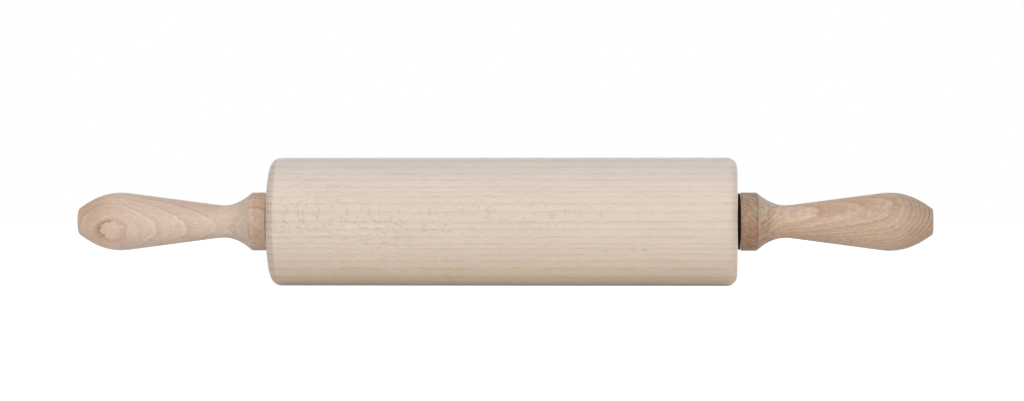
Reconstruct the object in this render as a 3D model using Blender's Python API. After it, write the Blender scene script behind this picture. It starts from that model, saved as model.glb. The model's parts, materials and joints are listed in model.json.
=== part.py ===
"""Beech rolling pin that turns on two ball bearings.

X runs along the pin, Z is up, and the origin is on the table under the middle of the pin.
A steel axle joins the two turned handles. The barrel turns round it on a ball bearing at each
end, and a black washer at each end keeps the barrel off the handle. Lengths are in metres.
"""

import math

import bmesh
import bpy

# Barrel
BARREL_LENGTH = 0.250
BARREL_DIAMETER = 0.0687
BARREL_EDGE_RADIUS = 0.0058
SEAT_MOUTH_CHAMFER = 0.0005

# Handle, from its collar at the barrel to the flat at its outer end
HANDLE_LENGTH = 0.1022
COLLAR_DIAMETER = 0.0312
COLLAR_LENGTH = 0.0084
COLLAR_CHAMFER = 0.0006
COLLAR_EDGE_RADIUS = 0.002
SHOULDER_LENGTH = 0.0154
NECK_DIAMETER = 0.0175
GRIP_DIAMETER = 0.0312
CROWN_LENGTH = 0.0225
END_FLAT_DIAMETER = 0.0134
END_EDGE_RADIUS = 0.002
HANDLE_BORE_DEPTH = 0.055
DRILL_TIP_LENGTH = 0.0022
BORE_MOUTH_CHAMFER = 0.0005
NECK_EASE_SHARE = 0.05
GRIP_EASE_SHARE = 0.10

# Axle
AXLE_DIAMETER = 0.008
AXLE_TIP_CHAMFER = 0.0006
AXLE_END_GAP = 0.0015
KNURL_LENGTH = 0.030
KNURL_DEPTH = 0.0003
KNURL_FADE = 0.001

# Ball bearing, which adds up to a bore of 8, an outside of 22 and a width of 7 mm
BALL_DIAMETER = 0.003969
BALL_COUNT = 7
INNER_RACE_WALL = 0.0012
OUTER_RACE_WALL = 0.00138
GROOVE_DEPTH_SHARE = 0.19
RING_CHAMFER = 0.0003
CAGE_WEB = 0.00045
CAGE_MOUTH_SHARE = 0.33
SHIELD_THICKNESS = 0.00035
SHIELD_INSET = 0.00015
SHIELD_LEDGE = 0.0009

# Washer
WASHER_DIAMETER = 0.0302
WASHER_THICKNESS = 0.0013
WASHER_CHAMFER = 0.0003
BOSS_WALL = 0.0016

# Clearances
BALL_GAP = 0.00015
CAGE_GAP = 0.00025
CAGE_END_GAP = 0.00042
SHIELD_GAP = 0.0002
SHAFT_GAP = 0.00015
SEAT_GAP = 0.0002
RUNNING_GAP = 0.0003
BEARING_RECESS = 0.0004
INNER_RING_RELIEF = 0.0015

# Facets
BARREL_SIDES = 64
HANDLE_SIDES = 36
AXLE_SIDES = 24
RING_SIDES = 28
WASHER_SIDES = 40
BALL_SUBDIVISION_STEPS = 2
EDGE_STEPS = 6
HANDLE_EDGE_STEPS = 3
SHOULDER_STEPS = 6
EASE_STEPS = 2
CROWN_STEPS = 7
GROOVE_STEPS = 6
MERGE_DISTANCE = 0.000001
SHARP_ANGLE = math.radians(28)

# Radii that follow from the sizes above
barrel_radius = BARREL_DIAMETER / 2
axle_radius = AXLE_DIAMETER / 2
shaft_hole_radius = axle_radius + SHAFT_GAP
ball_radius = BALL_DIAMETER / 2
groove_radius = ball_radius + BALL_GAP
pitch_radius = shaft_hole_radius + INNER_RACE_WALL + groove_radius
ring_outer_radius = pitch_radius + groove_radius + OUTER_RACE_WALL
land_rise = ball_radius - BALL_DIAMETER * GROOVE_DEPTH_SHARE
inner_land_radius = pitch_radius - land_rise
outer_land_radius = pitch_radius + land_rise
ledge_radius = outer_land_radius + SHIELD_LEDGE
seat_radius = ring_outer_radius + SEAT_GAP
through_bore_radius = inner_land_radius + INNER_RING_RELIEF

# Places across a bearing, from its middle
cage_mouth = BALL_DIAMETER * CAGE_MOUTH_SHARE
cage_back = groove_radius + CAGE_WEB
shield_inner_face = cage_back + CAGE_END_GAP
shield_outer_face = shield_inner_face + SHIELD_THICKNESS
ledge_face = shield_inner_face - SHIELD_GAP
half_width = shield_outer_face + SHIELD_INSET

# Places along the pin, from its middle
barrel_end = BARREL_LENGTH / 2
bearing_place = barrel_end - BEARING_RECESS - half_width
seat_bottom = bearing_place - half_width - SEAT_GAP
boss_face = barrel_end - BEARING_RECESS + SEAT_GAP
washer_face = barrel_end + RUNNING_GAP
washer_back = washer_face + WASHER_THICKNESS
handle_place = washer_back + SEAT_GAP
axle_end = handle_place + HANDLE_BORE_DEPTH - AXLE_END_GAP

# The pin lies on a flat of the barrel, so the axle is a little lower than the barrel's radius
axle_height = barrel_radius * math.cos(math.pi / BARREL_SIDES)


def material(name, color, roughness, metallic=0.0):
    made = bpy.data.materials.new(name)
    made.use_nodes = True
    shader = made.node_tree.nodes["Principled BSDF"]
    shader.inputs["Base Color"].default_value = (*color, 1.0)
    shader.inputs["Roughness"].default_value = roughness
    shader.inputs["Metallic"].default_value = metallic
    made.diffuse_color = (*color, 1.0)
    return made


def axis_frame(name, place, height=0.0, parent=None):
    """An empty on the pin's axis, for pieces that are placed or turn together."""
    empty = bpy.data.objects.new(name, None)
    empty.location = (place, 0.0, height)
    empty.parent = parent
    bpy.context.scene.collection.objects.link(empty)
    return empty


def add_object(name, mesh, parent):
    piece = bpy.data.objects.new(name, mesh)
    piece.parent = parent
    bpy.context.scene.collection.objects.link(piece)
    return piece


def finished_mesh(bm, name, finish):
    """Merges points that meet, points the faces out and keeps only the real edges sharp."""
    bmesh.ops.remove_doubles(bm, verts=bm.verts, dist=MERGE_DISTANCE)
    bmesh.ops.recalc_face_normals(bm, faces=bm.faces)
    mesh = bpy.data.meshes.new(name)
    bm.to_mesh(mesh)
    bm.free()
    mesh.shade_smooth()
    mesh.set_sharp_from_angle(angle=SHARP_ANGLE)
    mesh.materials.append(finish)
    return mesh


def turned(name, outline, sides, finish, parent, side=1, closed=True):
    """A piece turned about X from points of (place, radius), mirrored where side is -1.

    The outline is a closed loop, or starts and ends on the axis. A flat is at the bottom.
    """
    half_side = math.pi / sides
    bm = bmesh.new()
    points = [(side * x, r * math.sin(half_side), -r * math.cos(half_side)) for x, r in outline]
    verts = [bm.verts.new(point) for point in points]
    edges = [bm.edges.new(pair) for pair in zip(verts, verts[1:])]
    if closed:
        edges.append(bm.edges.new((verts[-1], verts[0])))
    bmesh.ops.spin(
        bm,
        geom=verts + edges,
        cent=(0.0, 0.0, 0.0),
        axis=(1.0, 0.0, 0.0),
        angle=math.tau,
        steps=sides,
        use_merge=True,
    )
    return add_object(name, finished_mesh(bm, name, finish), parent)


def arc(center_x, center_r, radius, start, end, steps):
    """Points of a round stretch, with its angles from the X direction."""
    angles = [start + (end - start) * step / steps for step in range(steps + 1)]
    return [(center_x + radius * math.cos(a), center_r + radius * math.sin(a)) for a in angles]


def barrel(finish, parent):
    """The beech barrel: rounded ends, a bearing seat in each end and a bore between the seats."""
    edge_center = barrel_end - BARREL_EDGE_RADIUS
    edge_ring = barrel_radius - BARREL_EDGE_RADIUS
    right_half = arc(edge_center, edge_ring, BARREL_EDGE_RADIUS, math.pi / 2, 0.0, EDGE_STEPS)
    right_half += [
        (barrel_end, seat_radius + SEAT_MOUTH_CHAMFER),
        (barrel_end - SEAT_MOUTH_CHAMFER, seat_radius),
        (seat_bottom, seat_radius),
        (seat_bottom, through_bore_radius),
    ]
    left_half = [(-x, r) for x, r in reversed(right_half)]
    return turned("barrel", right_half + left_half, BARREL_SIDES, finish, parent)


def axle(finish, parent):
    """A straight steel rod, knurled where it is driven into the handles."""
    knurl_start = axle_end - KNURL_LENGTH
    right_half = [
        (knurl_start, axle_radius),
        (knurl_start + KNURL_FADE, axle_radius),
        (axle_end - AXLE_TIP_CHAMFER, axle_radius),
        (axle_end, axle_radius - AXLE_TIP_CHAMFER),
        (axle_end, 0.0),
    ]
    left_half = [(-x, r) for x, r in reversed(right_half)]
    rod = turned("axle_rod", left_half + right_half, AXLE_SIDES, finish, parent, closed=False)
    sunk_share = 1 - KNURL_DEPTH / axle_radius
    for vert in rod.data.vertices:
        radius = math.hypot(vert.co.y, vert.co.z)
        side_number = round(math.atan2(vert.co.y, -vert.co.z) * AXLE_SIDES / math.tau - 0.5)
        in_knurl = abs(vert.co.x) > knurl_start + KNURL_FADE / 2
        on_surface = radius > axle_radius - AXLE_TIP_CHAMFER / 2
        if in_knurl and on_surface and side_number % 2:
            vert.co.yz *= sunk_share
    rod.data.set_sharp_from_angle(angle=SHARP_ANGLE)
    return rod


def handle_outline():
    """A collar, a shoulder that falls to the neck, a taper that widens to the grip, and a crown.

    The collar's outer edge and the edge of the end flat are rounded, each by an arc that takes its
    angle from the slope of the curve that it meets.
    """
    collar_radius = COLLAR_DIAMETER / 2
    neck_radius = NECK_DIAMETER / 2
    grip_radius = GRIP_DIAMETER / 2
    flat_radius = END_FLAT_DIAMETER / 2
    neck_place = COLLAR_LENGTH + SHOULDER_LENGTH
    crown_place = HANDLE_LENGTH - CROWN_LENGTH
    upright = math.pi / 2
    shoulder_angle = math.atan(2 * (collar_radius - neck_radius) / SHOULDER_LENGTH)
    collar_cut = COLLAR_EDGE_RADIUS * math.tan(shoulder_angle / 2)
    collar_edge_center = (COLLAR_LENGTH - collar_cut, collar_radius - COLLAR_EDGE_RADIUS)
    collar_edge_angles = (upright, upright - shoulder_angle)
    crown_angle = math.atan(2 * (grip_radius - flat_radius) / CROWN_LENGTH)
    flat_cut = END_EDGE_RADIUS * math.tan((upright - crown_angle) / 2)
    end_edge_center = (HANDLE_LENGTH - END_EDGE_RADIUS, flat_radius - flat_cut)
    crown_share = 1 - flat_cut * math.cos(crown_angle) / CROWN_LENGTH
    points = [
        (HANDLE_BORE_DEPTH + DRILL_TIP_LENGTH, 0.0),
        (HANDLE_BORE_DEPTH, shaft_hole_radius),
        (BORE_MOUTH_CHAMFER, shaft_hole_radius),
        (0.0, shaft_hole_radius + BORE_MOUTH_CHAMFER),
        (0.0, collar_radius - COLLAR_CHAMFER),
        (COLLAR_CHAMFER, collar_radius),
        *arc(*collar_edge_center, COLLAR_EDGE_RADIUS, *collar_edge_angles, HANDLE_EDGE_STEPS),
    ]
    for step in range(1, SHOULDER_STEPS + 1):
        left = 1 - step / SHOULDER_STEPS
        rise = (collar_radius - neck_radius) * left**2
        points.append((neck_place - SHOULDER_LENGTH * left, neck_radius + rise))
    # The taper is straight, and eased into the neck and the grip by parabolas
    slope = 1 / (1 - (NECK_EASE_SHARE + GRIP_EASE_SHARE) / 2)
    taper = []
    for step in range(1, EASE_STEPS + 1):
        along = NECK_EASE_SHARE * step / EASE_STEPS
        taper.append((along, slope * along**2 / (2 * NECK_EASE_SHARE)))
    for step in range(EASE_STEPS + 1):
        left = GRIP_EASE_SHARE * (1 - step / EASE_STEPS)
        taper.append((1 - left, 1 - slope * left**2 / (2 * GRIP_EASE_SHARE)))
    for along, rise in taper:
        place = neck_place + (crown_place - neck_place) * along
        points.append((place, neck_radius + (grip_radius - neck_radius) * rise))
    for step in range(1, CROWN_STEPS):
        along = crown_share * step / CROWN_STEPS
        fall = (grip_radius - flat_radius) * along**2
        points.append((crown_place + CROWN_LENGTH * along, grip_radius - fall))
    points += arc(*end_edge_center, END_EDGE_RADIUS, upright - crown_angle, 0.0, HANDLE_EDGE_STEPS)
    points.append((HANDLE_LENGTH, 0.0))
    return points


def handle(name, side, finish, parent):
    """A turned beech handle with a blind bore for the axle."""
    piece = turned(name, handle_outline(), HANDLE_SIDES, finish, parent, side, closed=False)
    piece.location.x = side * handle_place
    return piece


def washer(name, side, finish, parent):
    """A black washer between barrel and handle. Its boss bears on the bearing's inner ring."""
    edge = WASHER_DIAMETER / 2
    boss_radius = shaft_hole_radius + BOSS_WALL
    outline = [
        (boss_face, shaft_hole_radius),
        (boss_face, boss_radius),
        (washer_face, boss_radius),
        (washer_face, edge - WASHER_CHAMFER),
        (washer_face + WASHER_CHAMFER, edge),
        (washer_back - WASHER_CHAMFER, edge),
        (washer_back, edge - WASHER_CHAMFER),
        (washer_back, shaft_hole_radius),
    ]
    return turned(name, outline, WASHER_SIDES, finish, parent, side)


def groove(land_radius, bulge):
    """The groove that the balls run in, outward in the outer ring and inward in the inner one."""
    start = math.asin(abs(land_radius - pitch_radius) / groove_radius)
    half = arc(0.0, 0.0, groove_radius, start, math.pi - start, GROOVE_STEPS)
    return [(x, pitch_radius + bulge * r) for x, r in half]


def outer_ring(name, side, finish, parent):
    """The ring in the barrel's seat, with a ledge at each face for a shield."""
    outline = [
        (-half_width, ring_outer_radius - RING_CHAMFER),
        (-half_width + RING_CHAMFER, ring_outer_radius),
        (half_width - RING_CHAMFER, ring_outer_radius),
        (half_width, ring_outer_radius - RING_CHAMFER),
        (half_width, ledge_radius),
        (ledge_face, ledge_radius),
        (ledge_face, outer_land_radius),
        *groove(outer_land_radius, 1),
        (-ledge_face, outer_land_radius),
        (-ledge_face, ledge_radius),
        (-half_width, ledge_radius),
    ]
    return turned(name, outline, RING_SIDES, finish, parent, side)


def inner_ring(name, side, finish, parent):
    """The ring on the axle."""
    outline = [
        (-half_width, shaft_hole_radius + RING_CHAMFER),
        (-half_width, inner_land_radius),
        *reversed(groove(inner_land_radius, -1)),
        (half_width, inner_land_radius),
        (half_width, shaft_hole_radius + RING_CHAMFER),
        (half_width - RING_CHAMFER, shaft_hole_radius),
        (-half_width + RING_CHAMFER, shaft_hole_radius),
    ]
    return turned(name, outline, RING_SIDES, finish, parent, side)


def shield(name, side, face, finish, parent):
    """A thin steel ring on a ledge of the outer ring. It clears the inner ring."""
    outline = [
        (face * shield_inner_face, inner_land_radius + SHIELD_GAP),
        (face * shield_outer_face, inner_land_radius + SHIELD_GAP),
        (face * shield_outer_face, ledge_radius - SHIELD_GAP),
        (face * shield_inner_face, ledge_radius - SHIELD_GAP),
    ]
    return turned(name, outline, RING_SIDES, finish, parent, side)


def ball_places():
    angles = [math.tau * number / BALL_COUNT for number in range(BALL_COUNT)]
    return [(a, (0.0, -pitch_radius * math.sin(a), pitch_radius * math.cos(a))) for a in angles]


def sphere_mesh(name, radius, finish):
    bm = bmesh.new()
    bmesh.ops.create_icosphere(bm, subdivisions=BALL_SUBDIVISION_STEPS, radius=radius)
    return finished_mesh(bm, name, finish)


def cage(name, side, finish, parent):
    """A moulded ring with a round pocket for each ball, open towards the middle of the pin."""
    outline = [
        (-cage_mouth, inner_land_radius + CAGE_GAP),
        (cage_back, inner_land_radius + CAGE_GAP),
        (cage_back, outer_land_radius - CAGE_GAP),
        (-cage_mouth, outer_land_radius - CAGE_GAP),
    ]
    ring = turned(name, outline, RING_SIDES, finish, parent, side)
    pocket = sphere_mesh(name + "_pocket", groove_radius, finish)
    for number, (angle, place) in enumerate(ball_places(), 1):
        cutter = add_object(f"{name}_pocket_cutter_{number}", pocket, parent)
        cutter.location = place
        cutter.rotation_euler.x = angle
        cutter.hide_render = True
        cutter.display_type = "WIRE"
        cut = ring.modifiers.new(f"pocket_{number}", "BOOLEAN")
        cut.operation = "DIFFERENCE"
        cut.object = cutter
    return ring


def balls(label, finish, parent):
    mesh = sphere_mesh("bearing_ball", ball_radius, finish)
    for number, (angle, place) in enumerate(ball_places(), 1):
        ball = add_object(f"ball_{label}_{number}", mesh, parent)
        ball.location = place
        ball.rotation_euler.x = angle


def bearing(label, side, steel, polymer, still, turning):
    """A shielded ball bearing. The outer ring and the shields turn with the barrel, the inner ring
    stays with the axle, and the cage and the balls turn between them."""
    place = side * bearing_place
    still_frame = axis_frame(f"bearing_place_{label}", place, parent=still)
    turning_frame = axis_frame(f"bearing_seat_{label}", place, parent=turning)
    cage_frame = axis_frame(f"ball_cage_axis_{label}", place, parent=still)
    inner_ring(f"inner_ring_{label}", side, steel, still_frame)
    outer_ring(f"outer_ring_{label}", side, steel, turning_frame)
    shield(f"outer_shield_{label}", side, 1, steel, turning_frame)
    shield(f"inner_shield_{label}", side, -1, steel, turning_frame)
    cage(f"ball_cage_{label}", side, polymer, cage_frame)
    balls(label, steel, cage_frame)


def rolling_pin():
    pale_beech = material("pale_beech", (0.73, 0.62, 0.51), 0.62)
    steamed_beech = material("steamed_beech", (0.46, 0.31, 0.22), 0.55)
    axle_steel = material("axle_steel", (0.56, 0.56, 0.57), 0.35, 1.0)
    bearing_steel = material("bearing_steel", (0.72, 0.72, 0.73), 0.18, 1.0)
    cage_polymer = material("cage_polymer", (0.62, 0.56, 0.44), 0.5)
    black_plastic = material("black_plastic", (0.012, 0.012, 0.012), 0.45)

    pin_axis = axis_frame("pin_axis", 0.0, axle_height)
    barrel_axis = axis_frame("barrel_axis", 0.0, parent=pin_axis)
    barrel(pale_beech, barrel_axis)
    axle(axle_steel, pin_axis)
    for label, side in (("left", -1), ("right", 1)):
        handle(f"handle_{label}", side, steamed_beech, pin_axis)
        washer(f"washer_{label}", side, black_plastic, pin_axis)
        bearing(label, side, bearing_steel, cage_polymer, pin_axis, barrel_axis)


def clear_scene():
    for leftover in list(bpy.data.objects):
        bpy.data.objects.remove(leftover)


clear_scene()
rolling_pin()
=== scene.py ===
"""Looks of a beech rolling pin that turns on two ball bearings, built round its packed model.

X runs along the pin, Z is up, and the origin is on the table under the middle of the pin.
Lengths are in metres. The figure of the wood is in millimetres, as a turner measures it.
"""

import json
import math

import bmesh
import bpy
from bpy.props import FloatProperty, FloatVectorProperty, IntProperty, PointerProperty
from mathutils import Matrix, Vector

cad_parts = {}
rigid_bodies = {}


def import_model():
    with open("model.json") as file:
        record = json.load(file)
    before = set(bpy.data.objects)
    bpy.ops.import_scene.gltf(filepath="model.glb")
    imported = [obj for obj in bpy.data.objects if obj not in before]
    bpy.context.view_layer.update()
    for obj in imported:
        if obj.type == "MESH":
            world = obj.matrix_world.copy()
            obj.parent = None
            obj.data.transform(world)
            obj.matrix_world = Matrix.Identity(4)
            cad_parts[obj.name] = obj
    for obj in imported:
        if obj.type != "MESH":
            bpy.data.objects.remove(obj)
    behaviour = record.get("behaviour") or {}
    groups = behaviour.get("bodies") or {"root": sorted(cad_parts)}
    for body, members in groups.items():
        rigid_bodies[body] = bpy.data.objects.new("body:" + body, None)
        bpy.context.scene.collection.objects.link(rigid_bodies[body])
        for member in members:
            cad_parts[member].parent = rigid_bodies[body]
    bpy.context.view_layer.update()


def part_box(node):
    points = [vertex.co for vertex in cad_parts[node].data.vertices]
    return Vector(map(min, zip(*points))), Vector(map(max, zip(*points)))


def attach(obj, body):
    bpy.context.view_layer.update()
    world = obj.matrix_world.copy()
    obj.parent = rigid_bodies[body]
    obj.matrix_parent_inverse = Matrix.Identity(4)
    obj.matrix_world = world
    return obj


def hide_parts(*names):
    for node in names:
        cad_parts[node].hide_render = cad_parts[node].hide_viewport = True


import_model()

bl_info = {
    "name": "Beech rolling pin",
    "version": (1, 0, 0),
    "blender": (4, 5, 0),
    "location": "3D Viewport > Sidebar > Rolling pin",
    "description": "Builds a turned beech rolling pin with its handles, axle and ball bearings",
    "category": "Object",
}

SIDES = {"left": -1, "right": 1}
MM = 0.001


def cad_span(node, axis):
    """Size of a packed node along one axis."""
    low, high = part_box(node)
    return high[axis] - low[axis]


AXIS_HEIGHT = (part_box("barrel")[0].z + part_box("barrel")[1].z) / 2
SHARP_ANGLE = math.radians(32)
WHITE = (1.0, 1.0, 1.0)


def size_property(label, words, default):
    return FloatProperty(
        name=label,
        description=words,
        default=default,
        min=0.0001,
        max=1.0,
        precision=5,
        unit="LENGTH",
    )


def color_property(label, words, default):
    return FloatVectorProperty(
        name=label,
        description=words,
        default=default,
        min=0.0,
        max=1.0,
        size=3,
        subtype="COLOR",
    )


def share_property(label, words, default, high=1.0):
    return FloatProperty(
        name=label, description=words, default=default, min=0.0, max=high, subtype="FACTOR"
    )


def power_property(label, words, default):
    return FloatProperty(name=label, description=words, default=default, min=0.0, unit="POWER")


class BarrelSettings(bpy.types.PropertyGroup):
    """Sizes and beech colours of the barrel."""

    length: size_property("Length", "Length of the barrel", cad_span("barrel", 0))
    diameter: size_property("Diameter", "Diameter of the barrel", cad_span("barrel", 2))
    edge_radius: size_property("End rounding", "Radius of the rounded ends", 0.0058)
    early_wood: color_property("Early wood", "Pale wood of spring growth", (0.772, 0.667, 0.572))
    late_wood: color_property("Late wood", "Deeper wood of summer growth", (0.722, 0.607, 0.512))
    line_wood: color_property("Ring line", "Thin line that ends a year", (0.60, 0.475, 0.375))
    ray_wood: color_property("Ray fleck", "Flecks of the wood's rays", (0.52, 0.40, 0.31))
    roughness: share_property("Roughness", "Roughness of the sanded wood", 0.46)


class HandleSettings(bpy.types.PropertyGroup):
    """Sizes and beech colours of the two handles."""

    length: size_property("Length", "Length of one handle", cad_span("handle_right", 0))
    grip_diameter: size_property(
        "Grip diameter", "Thickest part of the grip", cad_span("handle_right", 2)
    )
    collar_diameter: size_property("Collar diameter", "Collar at the barrel", 0.0312)
    collar_length: size_property("Collar length", "Straight part of the collar", 0.0084)
    shoulder_length: size_property("Shoulder length", "From the collar to the neck", 0.0154)
    neck_diameter: size_property("Neck diameter", "Thinnest part of the handle", 0.0175)
    crown_length: size_property("Crown length", "Rounded outer end of the grip", 0.0225)
    end_flat_diameter: size_property("End flat", "Flat before its edge is rounded", 0.0134)
    edge_radius: size_property("Edge rounding", "At the collar's shoulder and the flat end", 0.002)
    left_early: color_property("Left early wood", "Pale wood, left handle", (0.81, 0.67, 0.562))
    left_late: color_property("Left late wood", "Deeper wood, left handle", (0.63, 0.42, 0.315))
    right_early: color_property("Right early wood", "Pale wood, right handle", (0.64, 0.467, 0.345))
    right_late: color_property("Right late wood", "Deeper wood, right handle", (0.495, 0.32, 0.224))
    line_wood: color_property("Ring line", "Thin line that ends a year", (0.36, 0.235, 0.165))
    ray_wood: color_property("Ray dash", "Dashes of the wood's rays", (0.34, 0.21, 0.145))
    roughness: share_property("Roughness", "Roughness of the sanded wood", 0.50)


class WasherSettings(bpy.types.PropertyGroup):
    """Sizes and colour of the black washers."""

    diameter: size_property("Diameter", "Outside of the washer", 0.0302)
    boss_wall: size_property("Boss wall", "Wall of the boss on the inner ring", 0.0016)
    color: color_property("Plastic", "Colour of the moulded plastic", (0.007, 0.0020, 0.0012))


class AxleSettings(bpy.types.PropertyGroup):
    """Sizes and colour of the steel axle."""

    length: size_property("Length", "Length of the axle", cad_span("axle_rod", 0))
    diameter: size_property("Diameter", "Diameter of the axle", cad_span("axle_rod", 2))
    knurl_length: size_property("Knurl length", "Knurled stretch in each handle", 0.030)
    knurl_teeth: IntProperty(
        name="Knurl teeth", description="Straight teeth round the knurl", default=24, min=8, max=60
    )
    color: color_property("Steel", "Colour of the drawn steel", (0.56, 0.56, 0.57))


class BearingSettings(bpy.types.PropertyGroup):
    """Sizes and finishes of the ball bearings."""

    ball_diameter: size_property("Ball diameter", "Diameter of one ball", 0.003969)
    shield_thickness: size_property("Shield thickness", "Sheet of the shields", 0.00035)
    steel: color_property("Bearing steel", "Ground rings and balls", (0.72, 0.72, 0.73))
    shield_steel: color_property("Shield steel", "Pressed shields", (0.62, 0.62, 0.62))
    cage: color_property("Cage", "Moulded ball cage", (0.62, 0.56, 0.44))


class StageSettings(bpy.types.PropertyGroup):
    """Floor and light of the pale studio."""

    floor_color: color_property("Floor", "Colour of the floor", (0.76, 0.76, 0.755))
    sky_light: share_property("Sky light", "Light from all round", 0.405, 2.0)
    left_power: power_property("Left power", "Power of the soft lamp at the left", 13.4)
    right_power: power_property("Right power", "Power of the soft lamp at the right", 10.0)
    fill_power: power_property("Fill power", "Power of the soft lamp by the camera", 23.1)
    back_power: power_property("Back power", "Power of the soft lamp behind", 9.0)
    floor_glow: share_property("Floor glow", "White that the camera sees in the floor", 0.70)


SETTINGS = {
    "pin_barrel": BarrelSettings,
    "pin_handles": HandleSettings,
    "pin_washers": WasherSettings,
    "pin_axle": AxleSettings,
    "pin_bearings": BearingSettings,
    "pin_stage": StageSettings,
}


def fresh(blocks, name, *data):
    """A new data block of this name, in place of one that an earlier run left."""
    old = blocks.get(name)
    if old:
        blocks.remove(old)
    return blocks.new(name, *data)


class Nodes:
    """A node tree to add to, with sockets set by outputs of other nodes or by plain values."""

    def __init__(self, tree):
        self.tree = tree

    def put(self, socket, value):
        """Links an output to the socket, or sets a plain value."""
        if isinstance(value, bpy.types.NodeSocket):
            self.tree.links.new(value, socket)
        elif socket.type == "RGBA" and len(value) == 3:
            socket.default_value = (*value, 1.0)
        else:
            socket.default_value = value

    def node(self, kind, inputs=(), **choices):
        made = self.tree.nodes.new(kind)
        for choice, value in choices.items():
            setattr(made, choice, value)
        for number, value in enumerate(inputs):
            self.put(made.inputs[number], value)
        return made

    def math(self, operation, *values):
        return self.node("ShaderNodeMath", values, operation=operation).outputs[0]


class Finish(Nodes):
    """One node material. Its methods add a node each and give back its output."""

    def __init__(self, name, color, roughness, metallic=0.0):
        self.material = fresh(bpy.data.materials, name)
        self.material.use_nodes = True
        self.material.diffuse_color = (*color, 1.0)
        super().__init__(self.material.node_tree)
        self.shader = self.tree.nodes["Principled BSDF"]
        self.put(self.shader.inputs["Base Color"], color)
        self.put(self.shader.inputs["Roughness"], roughness)
        self.put(self.shader.inputs["Metallic"], metallic)
        self.surface = self.node("ShaderNodeTexCoord").outputs

    def parts(self, place):
        """The X, Y and Z of a place."""
        return self.node("ShaderNodeSeparateXYZ", (place,)).outputs

    def millimetres(self):
        """The place in the piece, which moves with it, in millimetres."""
        return self.shade(self.surface["Object"], 1 / MM)

    def in_cells(self, place, cell):
        """The place counted in cells of these three lengths."""
        counts = tuple(1 / length for length in cell)
        return self.node("ShaderNodeVectorMath", (place, counts), operation="MULTIPLY").outputs[0]

    def noise(self, place, cell, detail=2.0, rough=0.5):
        """Soft noise, mostly from 0.25 to 0.75, with features about as large as the cell."""
        made = self.node("ShaderNodeTexNoise", (self.in_cells(place, cell),))
        self.put(made.inputs["Scale"], 1.0)
        self.put(made.inputs["Detail"], detail)
        self.put(made.inputs["Roughness"], rough)
        return made.outputs[0]

    def range(self, value, low, high, to_low=0.0, to_high=1.0, smooth=False):
        """Value from low to high moved to another range, and held beyond its ends."""
        kind = "SMOOTHSTEP" if smooth else "LINEAR"
        made = self.node(
            "ShaderNodeMapRange", (value, low, high, to_low, to_high), interpolation_type=kind
        )
        return made.outputs[0]

    def ramp(self, value, stops):
        """Value through a ramp of (place, grey) or (place, colour) stops."""
        made = self.node("ShaderNodeValToRGB", (value,))
        elements = made.color_ramp.elements
        elements.remove(elements[1])
        for number, (place, tone) in enumerate(stops):
            stop = elements[0] if number == 0 else elements.new(place)
            stop.position = place
            stop.color = (*tone, 1.0) if isinstance(tone, tuple) else (tone, tone, tone, 1.0)
        return made.outputs[0]

    def mix(self, share, first, second, blend="MIX"):
        """Mix of two colours. The node has sockets for every kind of value, and uses these."""
        made = self.node("ShaderNodeMix", (share,), data_type="RGBA", blend_type=blend)
        self.put(made.inputs[6], first)
        self.put(made.inputs[7], second)
        return made.outputs[2]

    def shade(self, color, brightness):
        """Colour or place times one value."""
        made = self.node("ShaderNodeVectorMath", (color,), operation="SCALE")
        self.put(made.inputs["Scale"], brightness)
        return made.outputs[0]

    def finish(self, color, roughness, height, depth, strength):
        """Links what varies to the shader. The depth of the bump is in metres."""
        bump = self.node("ShaderNodeBump")
        self.put(bump.inputs["Strength"], strength)
        self.put(bump.inputs["Distance"], depth)
        self.put(bump.inputs["Height"], height)
        self.put(self.shader.inputs["Base Color"], color)
        self.put(self.shader.inputs["Roughness"], roughness)
        self.put(self.shader.inputs["Normal"], bump.outputs[0])
        return self.material


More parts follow.
